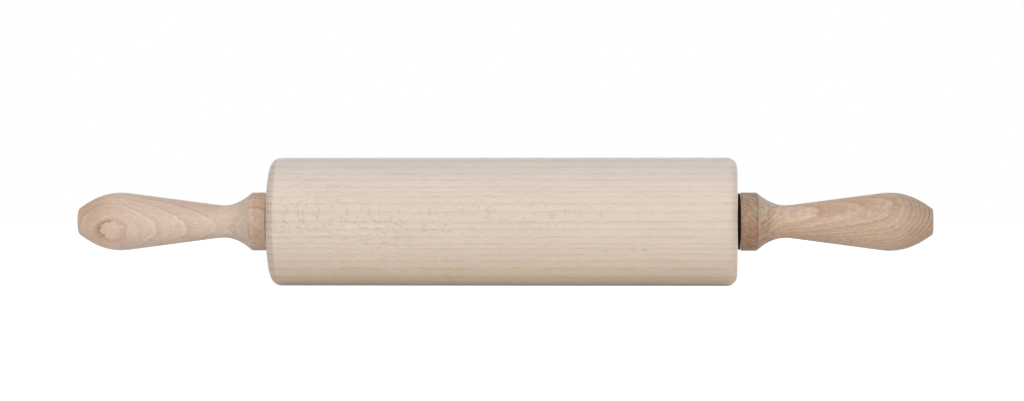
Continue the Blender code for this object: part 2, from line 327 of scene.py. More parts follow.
# How each blank was cut from the tree, in millimetres.
#   centre        place along the pin to measure from, for a handle its collar's inner end
#   outward       the way the tree grew, along which depths are counted from the pin's axis
#   grain         the way the fibres run
#   pith          distance from the pin's axis to the middle of the tree
#   edges         depths at which a year ends
#   wander        how far the rings stray over long, middle and short stretches
#   tone          depth of the colour through a year, from its start at 0 to its end at 1
#   contrast      strength of that tone
#   line          strength of the line between two years
#   streaks       cell along, outward and across the grain, and strength of each kind of streak
#   blotches      strength of the drift between pink and straw
#   fibre         strength and cell of the fibres
#   rays          cell and strength of each kind of ray fleck
#   ray_fades     direction, start and end of a change in the flecks, and the shares there
#   calm          middle and half length, near to far, of a stretch of a handle where the rings
#                 hardly show, with the share that is left of them and the level of their tone
#   marks         strength and stretch of a turning tool's marks, and the lean of each kind
#   tints         factors of the colour by depth or by height, over a stretch from the collar, in part painted light and shade
#   end_tones     brightness by the way a surface faces, from left at -1 to right at 1, in part painted shade and highlight
#   end_side      side of the end grain, with the strength of its lines and its tint below
#   stain         length, fade, raggedness and tint of the dark stretch of a collar, in part painted shade beside the barrel
#   scars         small dark places, or dark lines along a ring, where the wood once healed
BARREL_CUT = {
    "centre": 0.0,
    "outward": (0.0, 0.15, 0.989),
    "grain": (1.0, 0.11, 0.0),
    "pith": 150.0,
    "edges": (
        35.6, 31.8, 28.1, 24.3, 21.1, 17.3, 14.8, 12.4, 8.9, 4.7, -0.7, -4.4, -8.6, -12.5,
        -14.9, -18.2, -21.8, -25.7, -30.8, -33.7, -37.0,
    ),
    "wander": (0.2, 0.24, 0.18),
    "tone": ((0.0, 0.45), (0.07, 0.0), (0.3, 0.25), (0.7, 0.75), (0.9, 1.0), (1.0, 0.45)),
    "contrast": 0.65,
    "line": 0.36,
    "streaks": (((60.0, 0.9, 14.0), 0.030),),
    "blotches": 0.014,
    "fibre": (0.06, (9.0, 0.75, 0.75)),
    "rays": (((3.4, 9.0, 0.24), 0.82), ((8.0, 17.0, 0.30), 0.68)),
    "ray_fades": (("X", -45.0, 75.0, 1.0, 0.45), ("Y", -5.0, -0.5, 1.12, 0.78)),
    "calm": None,
    "marks": None,
    # The barrel's tints are partly the wood's own tone and partly painted light: cooler and greyer
    # towards the top as a painted reflection of the white room, lighter over the lower side as
    # painted bounce light, and darker along the lowest edge as painted shade.
    "tints": (
        ("depth", None, (
            (-34.3, (0.93, 0.88, 0.82)), (-33.8, (1.0, 0.945, 0.875)),
            (-32.3, (1.03, 0.975, 0.90)), (-30.9, (1.01, 0.955, 0.885)),
            (-29.3, (1.08, 1.045, 0.965)), (-26.0, (1.055, 1.035, 0.96)),
            (-24.5, (1.06, 1.04, 1.03)), (-12.0, (1.03, 1.015, 1.01)),
            (-3.4, (1.0, 0.985, 0.975)), (-1.2, (0.94, 0.92, 0.91)),
            (7.0, (0.98, 0.965, 0.95)), (18.0, (1.035, 1.045, 1.045)),
            (25.0, (1.035, 1.045, 1.07)), (30.0, (1.035, 1.055, 1.10)),
            (32.4, (0.975, 1.015, 1.08)), (36.0, (0.92, 0.97, 1.035)),
        )),
    ),
    # Darker end grain on both ends, with painted shade on the left-facing rounding and a painted
    # highlight on the right-facing edge
    "end_tones": (
        (-1.0, 0.82), (-0.6, 0.83), (-0.34, 0.86), (-0.24, 0.99), (0.5, 1.0), (0.75, 0.95),
        (0.88, 0.98), (1.0, 1.12),
    ),
    "end_side": -1,
    "end_lines": 0.65,
    "end_tint": (1.0, 0.975, 0.945),
    "stain": None,
    "scars": (
        {"centre": (55.4, -31.0, 19.3), "reach": (1.2, 1.5, 0.8), "strength": 0.6},
        {"centre": (69.5, -31.0, 19.2), "reach": (1.2, 1.5, 0.7), "strength": 0.55},
        {"centre": (76.3, -31.0, 19.4), "reach": (1.5, 1.5, 0.9), "strength": 0.65},
    ),
}
LEFT_CUT = {
    "centre": -126.8,
    "outward": (-0.13, -0.955, -0.30),
    "grain": (1.0, 0.0, 0.0),
    "pith": 65.0,
    "edges": (
        28.6, 24.95, 20.6, 16.4, 12.4, 8.2, 5.4, 2.6, -0.1, -3.1, -6.0, -8.8, -11.6, -14.5, -17.3,
        -20.3,
    ),
    "wander": (0.5, 0.32, 0.2),
    "tone": (
        (0.0, 0.35), (0.03, 0.05), (0.09, 0.1), (0.18, 0.5), (0.8, 0.55), (0.88, 1.0), (0.97, 1.0),
        (1.0, 0.35),
    ),
    "contrast": 0.9,
    "line": 0.06,
    "streaks": (((22.0, 0.45, 9.0), 0.05), ((4.5, 0.7, 3.0), 0.075), ((26.0, 0.17, 10.0), 0.07)),
    "blotches": 0.030,
    "fibre": (0.055, (16.0, 0.7, 0.7)),
    "rays": (((3.2, 10.0, 0.9), 0.30), ((1.8, 6.0, 0.6), 0.16)),
    "ray_fades": (),
    "calm": {"middle": 20.0, "near": 10.0, "far": 13.5, "left": 0.3, "level": 0.25},
    "marks": {"reach": 0.13, "start": 19.0, "end": 26.0, "leans": ((-0.5, None), (0.4, None))},
    "tints": (
        ("depth", None, (
            (-21.0, WHITE), (24.75, WHITE),
            (25.1, (0.89, 0.85, 0.81)), (29.0, (0.89, 0.85, 0.81)),
        )),
        # The tints by height are partly the wood's own tone and partly painted light: darker over
        # the top as painted shade, and lighter underneath along most of the handle as painted
        # bounce light from the floor.
        ("height", (30.0, 17.0), (
            (-16.0, WHITE), (-4.5, WHITE),
            (-2.0, (0.97, 0.965, 0.975)), (0.5, (0.94, 0.915, 0.91)),
            (4.0, (0.925, 0.89, 0.875)), (8.6, (0.90, 0.855, 0.845)),
            (10.7, (0.92, 0.89, 0.89)), (16.0, (0.93, 0.91, 0.90)),
        )),
        ("height", (86.0, 77.0), (
            (-16.0, (1.14, 1.08, 1.02)), (-5.0, (1.13, 1.07, 1.02)),
            (0.0, (1.07, 1.02, 0.97)), (4.0, (1.02, 0.98, 0.93)), (16.0, (1.02, 0.98, 0.93)),
        )),
        ("height", (8.0, 9.0), (
            (-16.0, (0.98, 1.0, 1.0)), (-2.0, (0.98, 1.0, 1.0)), (1.0, (0.94, 0.95, 0.96)),
            (3.0, (0.91, 0.90, 0.91)), (6.5, (0.91, 0.885, 0.895)),
            (8.5, (0.965, 0.945, 0.95)), (12.5, (0.965, 0.945, 0.95)),
            (14.0, (0.90, 0.90, 0.88)), (16.0, (0.90, 0.90, 0.88)),
        )),
    ),
    "end_tones": ((-1.0, 0.74), (-0.6, 0.80), (-0.3, 0.90), (-0.1, 1.0), (0.3, 1.03), (1.0, 0.8)),
    "end_side": -1,
    "end_lines": 0.12,
    "end_tint": (1.0, 0.97, 0.94),
    "stain": {"length": 7.6, "fade": 2.2, "ragged": 3.4, "tint": (0.885, 0.795, 0.72)},
    "scars": (
        {
            "centre": (-215.0, -13.0, 32.0),
            "reach": (7.5, 8.0, 7.0),
            "strength": 0.75,
            "ring": 24.91,
            "width": 0.28,
        },
    ),
}
RIGHT_CUT = {
    "centre": 126.8,
    "outward": (-0.22, -0.857, 0.515),
    "grain": (1.0, 0.0, 0.0),
    "pith": 65.0,
    "edges": (
        17.5, 12.5, 8.2, 4.6, 1.75, -0.3, -2.1, -4.4, -5.9, -7.5, -9.0, -10.85, -12.9,
        -15.2, -17.6, -20.0, -22.4, -24.9, -27.4, -30.0, -32.6, -35.2, -38.0,
    ),
    "wander": (0.0, 0.2, 0.14),
    "tone": (
        (0.0, 0.3), (0.08, 0.05), (0.2, 0.1), (0.4, 0.45), (0.84, 0.6), (0.93, 0.9), (1.0, 0.3),
    ),
    "contrast": 0.95,
    "line": 0.14,
    "streaks": (((20.0, 0.45, 9.0), 0.06), ((2.8, 0.6, 2.2), 0.16), ((26.0, 0.17, 10.0), 0.06)),
    "blotches": 0.045,
    "fibre": (0.075, (16.0, 0.7, 0.7)),
    "rays": (((3.2, 10.0, 0.9), 0.36), ((1.8, 6.0, 0.6), 0.32)),
    "ray_fades": (),
    "calm": {"middle": 16.5, "near": 6.0, "far": 9.0, "left": 0.3, "level": 0.5},
    "marks": {
        "reach": 0.40,
        "start": 17.0,
        "end": 26.0,
        "leans": ((-0.7, (9.0, 10.0)), (0.95, (10.0, 9.0))),
    },
    "tints": (
        ("depth", (18.0, 15.0), (
            (-38.0, WHITE), (1.4, WHITE),
            (2.2, (1.09, 1.09, 1.10)), (4.6, (1.09, 1.09, 1.10)), (5.4, WHITE),
        )),
        # The tints by height are painted light: bluer over the top as a painted reflection of the
        # sky, darker under the collar and shoulder as painted shade, and lighter under the neck and
        # grip as painted bounce light from the floor.
        ("height", (34.0, 44.0), (
            (-16.0, (1.04, 1.03, 1.03)), (-5.0, (1.06, 1.05, 1.05)), (-1.0, (1.05, 1.04, 1.04)),
            (1.0, WHITE), (3.0, (1.0, 1.03, 1.05)),
            (6.0, (1.0, 1.05, 1.12)), (16.0, (1.0, 1.05, 1.12)),
        )),
        ("height", (15.0, 19.0), (
            (-16.0, (0.84, 0.83, 0.82)), (-4.0, (0.82, 0.80, 0.78)), (-1.0, (0.84, 0.83, 0.82)),
            (1.5, (0.86, 0.88, 0.88)), (4.0, (0.90, 0.96, 0.96)), (8.0, (0.97, 1.04, 1.06)),
            (16.0, (0.95, 0.99, 1.0)),
        )),
        ("height", (55.0, 42.0), (
            (-16.0, (1.10, 1.10, 1.09)), (-8.0, (1.08, 1.08, 1.07)), (-4.5, WHITE), (-1.0, WHITE),
            (1.0, (0.975, 0.97, 0.975)), (9.0, (0.965, 0.96, 0.965)), (16.0, WHITE),
        )),
    ),
    # Much darker on the face towards the washer as painted shade in the gap, and partly end grain
    # elsewhere
    "end_tones": (
        (-1.0, 0.45), (-0.4, 0.7), (-0.2, 1.05), (0.0, 1.01), (0.1, 0.98), (0.3, 0.92), (0.6, 0.87),
        (1.0, 0.77),
    ),
    "end_side": 1,
    "end_lines": 0.55,
    "end_tint": (1.0, 0.985, 0.97),
    "stain": {"length": 8.9, "fade": 1.3, "ragged": 0.4, "tint": (0.70, 0.605, 0.535)},
    "scars": (
        {"centre": (204.7, -4.5, 19.4), "reach": (2.0, 3.0, 0.7), "strength": 0.8},
    ),
}

# A ramp holds tones up to 1, so brighter ones are divided by this and the colour multiplied by it
BRIGHTEST = 1.3

# A year ends in a soft line, just before the next one starts
LINE_TONE = ((0.0, 0.35), (0.06, 0.0), (0.58, 0.0), (0.86, 1.0), (0.95, 1.0), (1.0, 0.35))

# Cells of what is alike in all three blanks, in millimetres along, outward and across the grain
WANDER_CELLS = ((80.0, 16.0, 16.0), (16.0, 3.5, 3.5), (4.0, 1.0, 1.0))
LINE_BREAK_CELL = (12.0, 3.0, 3.0)
BLOTCH_CELL = (14.0, 1.6, 5.0)
CLOUD_CELL = (50.0, 12.0, 12.0)
CLOUD_REACH = 0.03
RAY_CLOUD_CELL = (40.0, 30.0, 30.0)
STAIN_CELL = (6.0, 4.0, 4.0)
TOOL_MARK_CELL = (0.8, 3.6, 3.6)

# Cells of the metal's and the plastic's soft patterns
STEEL_CLOUD_CELL = (9.0, 5.0, 5.0)
PLASTIC_CLOUD_CELL = (6.0, 6.0, 6.0)
PLASTIC_GRAIN_CELL = (0.35, 0.35, 0.35)

# A fleck fades from its full strength to nothing between these shares of its cell, and a scar
# between these shares of its reach
RAY_CORE, RAY_EDGE = 0.12, 0.30
SCAR_CORE, SCAR_EDGE = 0.7, 1.1

# A surface counts as end grain where its normal leans this far along the pin
END_START, END_FULL = 0.24, 0.32


def grain_place(wood, cut, along):
    """Place in millimetres along this direction, outward from the pith, and across both."""
    outward = Vector(cut["outward"]).normalized()
    along = Vector(along)
    grain = (along - outward * along.dot(outward)).normalized()
    turn = Matrix((grain, outward, grain.cross(outward)))
    centre = Vector((cut["centre"], 0.0, AXIS_HEIGHT / MM))
    made = wood.node("ShaderNodeMapping", (wood.millimetres(), -(turn @ centre), turn.to_euler()))
    return made.outputs[0]


def ring_depth(wood, place, cut):
    """Depth outward from the pin's axis, bent round the pith and wandering as real rings do."""
    parts = wood.parts(place)
    out = wood.math("ADD", parts["Y"], cut["pith"])
    out_squared = wood.math("MULTIPLY", out, out)
    across_squared = wood.math("MULTIPLY", parts["Z"], parts["Z"])
    radius = wood.math("SQRT", wood.math("ADD", out_squared, across_squared))
    depth = wood.math("SUBTRACT", radius, cut["pith"])
    for cell, reach in zip(WANDER_CELLS, cut["wander"]):
        shift = wood.range(wood.noise(place, cell, detail=1.0), 0.0, 1.0, -2 * reach, 2 * reach)
        depth = wood.math("ADD", depth, shift)
    return depth


def ring_count(wood, depth, cut):
    """Number of rings passed, with its fraction as the place in a ring, 0 where a year begins."""
    edges = sorted(cut["edges"])
    low, high = edges[0], edges[-1]
    years = len(edges) - 1
    stops = [((edge - low) / (high - low), number / years) for number, edge in enumerate(edges)]
    share = wood.ramp(wood.range(depth, low, high), stops)
    return wood.math("MULTIPLY", share, float(years))


def scar_share(wood, depth, cut):
    """Darkness of the small stretches where the wood once healed, some as a line along a ring."""
    share = 0.0
    for scar in cut["scars"]:
        offset = wood.node(
            "ShaderNodeVectorMath", (wood.millimetres(), scar["centre"]), operation="SUBTRACT"
        )
        cells = wood.in_cells(offset.outputs[0], scar["reach"])
        span = wood.node("ShaderNodeVectorMath", (cells,), operation="LENGTH").outputs["Value"]
        mark = wood.range(span, SCAR_CORE, SCAR_EDGE, scar["strength"], 0.0, smooth=True)
        if "ring" in scar:
            from_ring = wood.math("ABSOLUTE", wood.math("SUBTRACT", depth, scar["ring"]))
            width = scar["width"]
            line = wood.range(from_ring, width * 0.5, width, 1.0, 0.0, smooth=True)
            mark = wood.math("MULTIPLY", mark, line)
        share = wood.math("MAXIMUM", share, mark)
    return share


def from_collar(wood, cut):
    """Distance along the pin from the inner end of a handle's collar."""
    along = wood.parts(wood.millimetres())["X"]
    return wood.math("SUBTRACT", wood.math("ABSOLUTE", along), abs(cut["centre"]))


def near_collar(wood, cut, start, end, smooth=True):
    """Share that falls from 1 to 0 between two distances from the collar, whichever is nearer."""
    return wood.range(from_collar(wood, cut), start, end, 1.0, 0.0, smooth)


def above_axis(wood):
    """Height above the pin's axis."""
    return wood.math("SUBTRACT", wood.parts(wood.millimetres())["Z"], AXIS_HEIGHT / MM)


def dimmed(tone):
    """A grey or a tint that fits in a ramp."""
    return tone / BRIGHTEST if isinstance(tone, float) else tuple(part / BRIGHTEST for part in tone)


def tinted(wood, color, at, tints, share=1.0):
    """Colour times the tint or the grey that holds at this place."""
    low, high = tints[0][0], tints[-1][0]
    stops = [((place - low) / (high - low), dimmed(tone)) for place, tone in tints]
    tint = wood.ramp(wood.range(at, low, high), stops)
    return wood.mix(share, color, wood.mix(1.0, wood.shade(color, BRIGHTEST), tint, "MULTIPLY"))


def ring_color(wood, place, count, cut, early, late, line, end_share):
    """Pale where a year begins, deeper towards its end, and a thin line where it stops."""
    year = wood.math("FLOOR", count)
    age = wood.math("FRACT", count)
    strength = wood.node("ShaderNodeTexWhiteNoise", noise_dimensions="1D")
    wood.put(strength.inputs["W"], year)
    reach = cut["contrast"]
    contrast = wood.range(strength.outputs[0], 0.0, 1.0, 0.55 * reach, reach)
    tone = wood.ramp(age, cut["tone"])
    line_place = wood.ramp(age, LINE_TONE)
    calm = cut["calm"]
    if calm:
        away = wood.math("SUBTRACT", from_collar(wood, cut), calm["middle"])
        away = wood.math("ABSOLUTE", away)
        lively = wood.range(away, calm["near"], calm["far"], calm["left"], 1.0, smooth=True)
        tone = wood.math("MULTIPLY", wood.math("SUBTRACT", tone, calm["level"]), lively)
        tone = wood.math("ADD", tone, calm["level"])
        line_place = wood.math("MULTIPLY", line_place, lively)
    color = wood.mix(wood.math("MULTIPLY", tone, contrast), early, late)
    broken = wood.range(wood.noise(place, LINE_BREAK_CELL), 0.35, 0.65, 0.0, cut["line"])
    broken = wood.math("MAXIMUM", broken, wood.math("MULTIPLY", end_share, cut["end_lines"]))
    line_share = wood.math("MULTIPLY", line_place, broken)
    return wood.mix(line_share, color, line)


def blotches(wood, layers, reach):
    """Tint that drifts between pink and straw along the rings."""
    drift = wood.range(wood.noise(layers, BLOTCH_CELL, rough=0.55), 0.3, 0.7)
    straw = (1 - reach, 1.0, 1 - reach)
    pink = (1.0, 1 - reach, 1 - reach / 2)
    return wood.mix(drift, straw, pink)


def ray_marks(wood, place, cut):
    """Rays are thin plates that run outward, so they show as dashes or as flecks."""
    marks = 0.0
    for cell, strength in cut["rays"]:
        rays = wood.node("ShaderNodeTexVoronoi", (wood.in_cells(place, cell),))
        wood.put(rays.inputs["Scale"], 1.0)
        mark = wood.range(rays.outputs["Distance"], RAY_EDGE, RAY_CORE, 0.0, strength)
        marks = wood.math("MAXIMUM", marks, mark)
    clouds = wood.noise(place, RAY_CLOUD_CELL, detail=1.0)
    marks = wood.math("MULTIPLY", marks, wood.range(clouds, 0.35, 0.6, 0.3, 1.0))
    for direction, start, end, first, last in cut["ray_fades"]:
        share = wood.range(wood.parts(place)[direction], start, end, first, last)
        marks = wood.math("MULTIPLY", marks, share)
    return marks


def beech(name, cut, early, late, settings):
    """Beech with its growth rings, fibres, rays and end grain, all worked out in the solid."""
    line = settings.line_wood[:]
    roughness = settings.roughness
    wood = Finish(name, late, roughness)
    place = grain_place(wood, cut, cut["grain"])
    depth = ring_depth(wood, grain_place(wood, cut, (1.0, 0.0, 0.0)), cut)
    count = ring_count(wood, depth, cut)
    facing = wood.parts(wood.surface["Normal"])["X"]
    end_facing = wood.math("MULTIPLY", facing, float(cut["end_side"]))
    end_share = wood.range(end_facing, END_START, END_FULL, smooth=True)
    color = ring_color(wood, place, count, cut, early, late, line, end_share)

    # Fine fibres, streaks that follow the rings, and wider clouds along the grain
    fibre_reach, fibre_cell = cut["fibre"]
    fibres = wood.noise(place, fibre_cell, detail=4.0, rough=0.6)
    parts = wood.parts(place)
    layers = wood.node("ShaderNodeCombineXYZ", (parts["X"], depth, parts["Z"])).outputs[0]
    streaks = [wood.noise(layers, cell, detail=3.0, rough=0.6) for cell, _ in cut["streaks"]]
    clouds = wood.noise(place, CLOUD_CELL, detail=3.0)
    reaches = [fibre_reach, CLOUD_REACH, *(reach for _, reach in cut["streaks"])]
    for pattern, reach in zip((fibres, clouds, *streaks), reaches):
        color = wood.shade(color, wood.range(pattern, 0.25, 0.75, 1 - reach, 1 + reach))
    color = wood.mix(1.0, color, blotches(wood, layers, cut["blotches"]), "MULTIPLY")
    color = wood.mix(ray_marks(wood, place, cut), color, settings.ray_wood[:])
    color = wood.mix(scar_share(wood, depth, cut), color, line)

    # Slow changes of tone by depth or by height, partly the wood's own and partly painted light and
    # shade, and the marks of the turning tool
    for measure, stretch, tints in cut["tints"]:
        at = depth if measure == "depth" else above_axis(wood)
        share = near_collar(wood, cut, *stretch) if stretch else 1.0
        color = tinted(wood, color, at, tints, share)
    if cut["marks"]:
        color = wood.shade(color, tool_marks(wood, cut))

    # End grain takes up more dirt and stays darker. The tones by the way a surface faces are partly
    # that darkening and partly painted shade and painted highlight.
    color = wood.mix(end_share, color, cut["end_tint"], "MULTIPLY")
    color = tinted(wood, color, facing, cut["end_tones"])
    # The collar's dark stretch is partly oil and hands and partly painted shade beside the barrel
    if cut["stain"]:
        share = collar_stain_and_shade(wood, place, cut)
        color = wood.mix(share, color, cut["stain"]["tint"], "MULTIPLY")

    height = wood.math("ADD", fibres, wood.math("MULTIPLY", streaks[0], 0.5))
    rough = wood.range(fibres, 0.2, 0.8, roughness - 0.05, roughness + 0.06)
    return wood.finish(color, rough, height, depth=0.00012, strength=0.35)


def tool_marks(wood, cut):
    """Brightness of the fine crossing marks that a turning tool tears beside the collar."""
    marks = cut["marks"]
    origin = (0.0, 0.0, 0.0)
    lines = 1.0
    for lean, stretch in marks["leans"]:
        turn = (0.0, lean, 0.0)
        leaning = wood.node("ShaderNodeMapping", (wood.millimetres(), origin, turn)).outputs[0]
        line = wood.noise(leaning, TOOL_MARK_CELL, rough=0.6)
        if stretch:
            line = wood.math("ADD", line, near_collar(wood, cut, *stretch, smooth=False))
        lines = wood.math("MINIMUM", lines, line)
    reach = marks["reach"]
    change = wood.range(lines, 0.25, 0.6, -reach, reach * 0.6)
    share = near_collar(wood, cut, marks["start"], marks["end"])
    return wood.math("ADD", wood.math("MULTIPLY", change, share), 1.0)


def collar_stain_and_shade(wood, place, cut):
    """Where a collar is darker next to the barrel, with a ragged edge: partly darkened from oil and
    hands, partly painted shade from the barrel's end.
    """
    stain = cut["stain"]
    ragged = stain["ragged"]
    shift = wood.range(wood.noise(place, STAIN_CELL), 0.25, 0.75, -ragged, ragged)
    along = wood.math("ADD", from_collar(wood, cut), shift)
    end = stain["length"] + stain["fade"]
    return wood.range(along, stain["length"], end, 1.0, 0.0, smooth=True)


def steel(name, color, roughness, marks):
    """Bright steel with marks of its last tool, each as large as this cell, and a cloudy gloss."""
    metal = Finish(name, color, roughness, metallic=1.0)
    place = metal.millimetres()
    lines = metal.noise(place, marks, detail=3.0, rough=0.6)
    clouds = metal.noise(place, STEEL_CLOUD_CELL)
    tone = metal.shade(color, metal.range(lines, 0.2, 0.8, 0.9, 1.06))
    rough = metal.range(clouds, 0.3, 0.7, roughness * 0.85, roughness * 1.2)
    return metal.finish(tone, rough, lines, depth=0.00002, strength=0.3)


def moulded(name, color, roughness, gloss):
    """Moulded plastic with a faint cloudy gloss and a fine eroded texture."""
    plastic = Finish(name, color, roughness)
    plastic.put(plastic.shader.inputs["Specular IOR Level"], gloss)
    place = plastic.millimetres()
    grain = plastic.noise(place, PLASTIC_GRAIN_CELL)
    clouds = plastic.noise(place, PLASTIC_CLOUD_CELL)
    tone = plastic.shade(color, plastic.range(clouds, 0.25, 0.75, 0.85, 1.25))
    rough = plastic.range(clouds, 0.3, 0.7, roughness - 0.06, roughness + 0.08)
    return plastic.finish(tone, rough, grain, depth=0.00003, strength=0.4)


def arc(center, radius, start, end, steps):
    """Points of a round stretch, with its angles in degrees from the X direction."""
    points = []
    for step in range(steps + 1):
        angle = math.radians(start + (end - start) * step / steps)
        points.append((center[0] + radius * math.cos(angle), center[1] + radius * math.sin(angle)))
    return points


def mirrored(outline, side):
    return [(side * place, radius) for place, radius in outline]


def shifted(outline, shift):
    return [(place + shift, radius) for place, radius in outline]


def turned(name, outline, sides, closed=True, tooth=None):
    """A mesh turned about the pin's axis from points of (place, radius).

    The outline is a closed loop, or starts and ends on the axis. The tooth function, where there
    is one, gives a share of the radius for a place along the pin and a side number.
    """
    points = []
    rows = []
    for place, radius in outline:
        count = sides if radius > 0 else 1
        rows.append([len(points) + number for number in range(count)])
        for number in range(count):
            angle = math.tau * number / sides
            reach = radius * (tooth(place, number) if tooth else 1.0)
            points.append((place, reach * math.sin(angle), AXIS_HEIGHT - reach * math.cos(angle)))
    faces = []
    for row, following in zip(rows, rows[1:] + (rows[:1] if closed else [])):
        for number in range(sides):
            corners = [
                row[number % len(row)],
                following[number % len(following)],
                following[(number + 1) % len(following)],
                row[(number + 1) % len(row)],
            ]
            face = list(dict.fromkeys(corners))
            if len(face) > 2:
                faces.append(face)
    mesh = bpy.data.meshes.new(name)
    mesh.from_pydata(points, [], faces)
    return mesh


def finished(mesh, material):
    """Points the faces out, keeps only the real edges sharp and gives the mesh its material."""
    bm = bmesh.new()
    bm.from_mesh(mesh)
    bmesh.ops.recalc_face_normals(bm, faces=bm.faces)
    bm.to_mesh(mesh)
    bm.free()
    mesh.shade_smooth()
    mesh.set_sharp_from_angle(angle=SHARP_ANGLE)
    mesh.materials.clear()
    mesh.materials.append(material)
    return mesh


def add_object(name, data):
    """An object in the scene, in place of one that an earlier run left."""
    made = fresh(bpy.data.objects, name, data)
    bpy.context.scene.collection.objects.link(made)
    return made


def add_piece(name, mesh, material, body, slot, *nodes):
    """Puts a piece in the scene on its body, in place of the packed nodes it stands for."""
    piece = add_object(name, finished(mesh, material))
    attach(piece, body)
    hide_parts(*nodes)
    return piece


def add_ring(name, outline, side, place, material, body, slot, node):
    """A piece turned as a ring, drawn for the right end of the pin and put at this side of it."""
    placed = shifted(mirrored(outline, side), side * place)
    return add_piece(name, turned(name, placed, FINE_SIDES), material, body, slot, node)


# Sizes inside the pin, small edges and running gaps, which stay as the packed model has them
SHAFT_HOLE_RADIUS = 0.00415
SEAT_RADIUS = 0.011199
THROUGH_BORE_RADIUS = 0.007754
SEAT_BOTTOM = 0.117391
MOUTH_CHAMFER = 0.0005
HANDLE_BORE_DEPTH = 0.055
DRILL_TIP_LENGTH = 0.0022
COLLAR_ROUNDING = 0.0002
BEARING_PLACE = 0.1210955
BEARING_HALF_WIDTH = 0.0035045
PITCH_RADIUS = 0.0074845
GROOVE_RADIUS = 0.0021345
INNER_LAND_RADIUS = 0.006254
OUTER_LAND_RADIUS = 0.008715
LEDGE_RADIUS = 0.009615
RING_OUTER_RADIUS = 0.010999
RING_ROUNDING = 0.0003
SHIELD_INNER_FACE = 0.0030045
SHIELD_GAP = 0.0002
CAGE_MOUTH = 0.00131
CAGE_BACK = 0.0025845
CAGE_GAP = 0.00025
BALLS = 7
WASHER_ROUNDING = 0.0003
WASHER_BACK_ROUNDING = 0.0001
RUNNING_GAP = 0.0003
AXLE_CHAMFER = 0.0006

# The knurl's teeth start within this short stretch, and what lies between them is sunk to this
# share of the radius
KNURL_FADE = (0.0010, 0.0014)
KNURL_SUNK = 0.925

# The taper eases out of the neck and into the grip over these shares of its length
NECK_EASE = 0.05
GRIP_EASE = 0.10

# How finely the pieces are turned
BARREL_SIDES = 256
HANDLE_SIDES = 160
FINE_SIDES = 96
BALL_SPLITS = 4


def barrel_outline(settings):
    """Barrel with rounded ends, a bearing seat in each end and a bore between the seats."""
    end = settings.length / 2
    rounding = settings.edge_radius
    center = (end - rounding, settings.diameter / 2 - rounding)
    right_half = arc(center, rounding, 90, 0, steps=24)
    right_half += [
        (end, SEAT_RADIUS + MOUTH_CHAMFER),
        (end - MOUTH_CHAMFER, SEAT_RADIUS),
        (SEAT_BOTTOM, SEAT_RADIUS),
        (SEAT_BOTTOM, THROUGH_BORE_RADIUS),
    ]
    return right_half + list(reversed(mirrored(right_half, -1)))


def taper_rise(along):
    """Share of the rise from neck to grip: straight, and eased at both ends by parabolas."""
    slope = 1 / (1 - (NECK_EASE + GRIP_EASE) / 2)
    if along < NECK_EASE:
        return slope * along**2 / (2 * NECK_EASE)
    if along > 1 - GRIP_EASE:
        return 1 - slope * (1 - along) ** 2 / (2 * GRIP_EASE)
    return slope * (along - NECK_EASE / 2)


def handle_outline(settings, start):
    """Bore, collar, shoulder that falls to the neck, taper that widens to the grip, and crown."""
    collar = settings.collar_diameter / 2
    neck = settings.neck_diameter / 2
    grip = settings.grip_diameter / 2
    flat = settings.end_flat_diameter / 2
    edge = settings.edge_radius
    neck_place = settings.collar_length + settings.shoulder_length
    crown_place = settings.length - settings.crown_length

    # The shoulder and the crown are parabolas, so each leaves its corner at twice its mean slope
    shoulder_angle = math.atan(2 * (collar - neck) / settings.shoulder_length)
    collar_cut = edge * math.tan(shoulder_angle / 2)
    crown_angle = math.atan(2 * (grip - flat) / settings.crown_length)
    flat_cut = edge * math.tan((math.pi / 2 - crown_angle) / 2)
    crown_share = 1 - flat_cut * math.cos(crown_angle) / settings.crown_length
    points = [
        (HANDLE_BORE_DEPTH + DRILL_TIP_LENGTH, 0.0),
        (HANDLE_BORE_DEPTH, SHAFT_HOLE_RADIUS),
        (MOUTH_CHAMFER, SHAFT_HOLE_RADIUS),
        (0.0, SHAFT_HOLE_RADIUS + MOUTH_CHAMFER),
    ]
    inner_corner = (COLLAR_ROUNDING, collar - COLLAR_ROUNDING)
    points += arc(inner_corner, COLLAR_ROUNDING, 180, 90, steps=6)
    collar_corner = (settings.collar_length - collar_cut, collar - edge)
    points += arc(collar_corner, edge, 90, 90 - math.degrees(shoulder_angle), steps=8)
    shoulder_steps = 28
    for step in range(2, shoulder_steps + 1):
        left = 1 - step / shoulder_steps
        place = neck_place - settings.shoulder_length * left
        points.append((place, neck + (collar - neck) * left**2))
    taper_steps = 44
    for step in range(1, taper_steps + 1):
        along = step / taper_steps
        place = neck_place + (crown_place - neck_place) * along
        points.append((place, neck + (grip - neck) * taper_rise(along)))
    crown_steps = 36
    for step in range(1, crown_steps):
        along = crown_share * step / crown_steps
        place = crown_place + settings.crown_length * along
        points.append((place, grip - (grip - flat) * along**2))
    flat_corner = (settings.length - edge, flat - flat_cut)
    points += arc(flat_corner, edge, 90 - math.degrees(crown_angle), 0, steps=8)
    points.append((settings.length, 0.0))
    return shifted(points, start)


def washer_outline(settings, boss_face, washer_face, washer_back):
    """Flat washer with a boss that bears on the bearing's inner ring."""
    edge = settings.diameter / 2
    boss = SHAFT_HOLE_RADIUS + settings.boss_wall
    low_corner = (washer_face + WASHER_ROUNDING, edge - WASHER_ROUNDING)
    high_corner = (washer_back - WASHER_BACK_ROUNDING, edge - WASHER_BACK_ROUNDING)
    points = [(boss_face, SHAFT_HOLE_RADIUS), (boss_face, boss), (washer_face, boss)]
    points += arc(low_corner, WASHER_ROUNDING, 180, 90, steps=6)
    points += arc(high_corner, WASHER_BACK_ROUNDING, 90, 0, steps=4)
    points.append((washer_back, SHAFT_HOLE_RADIUS))
    return points


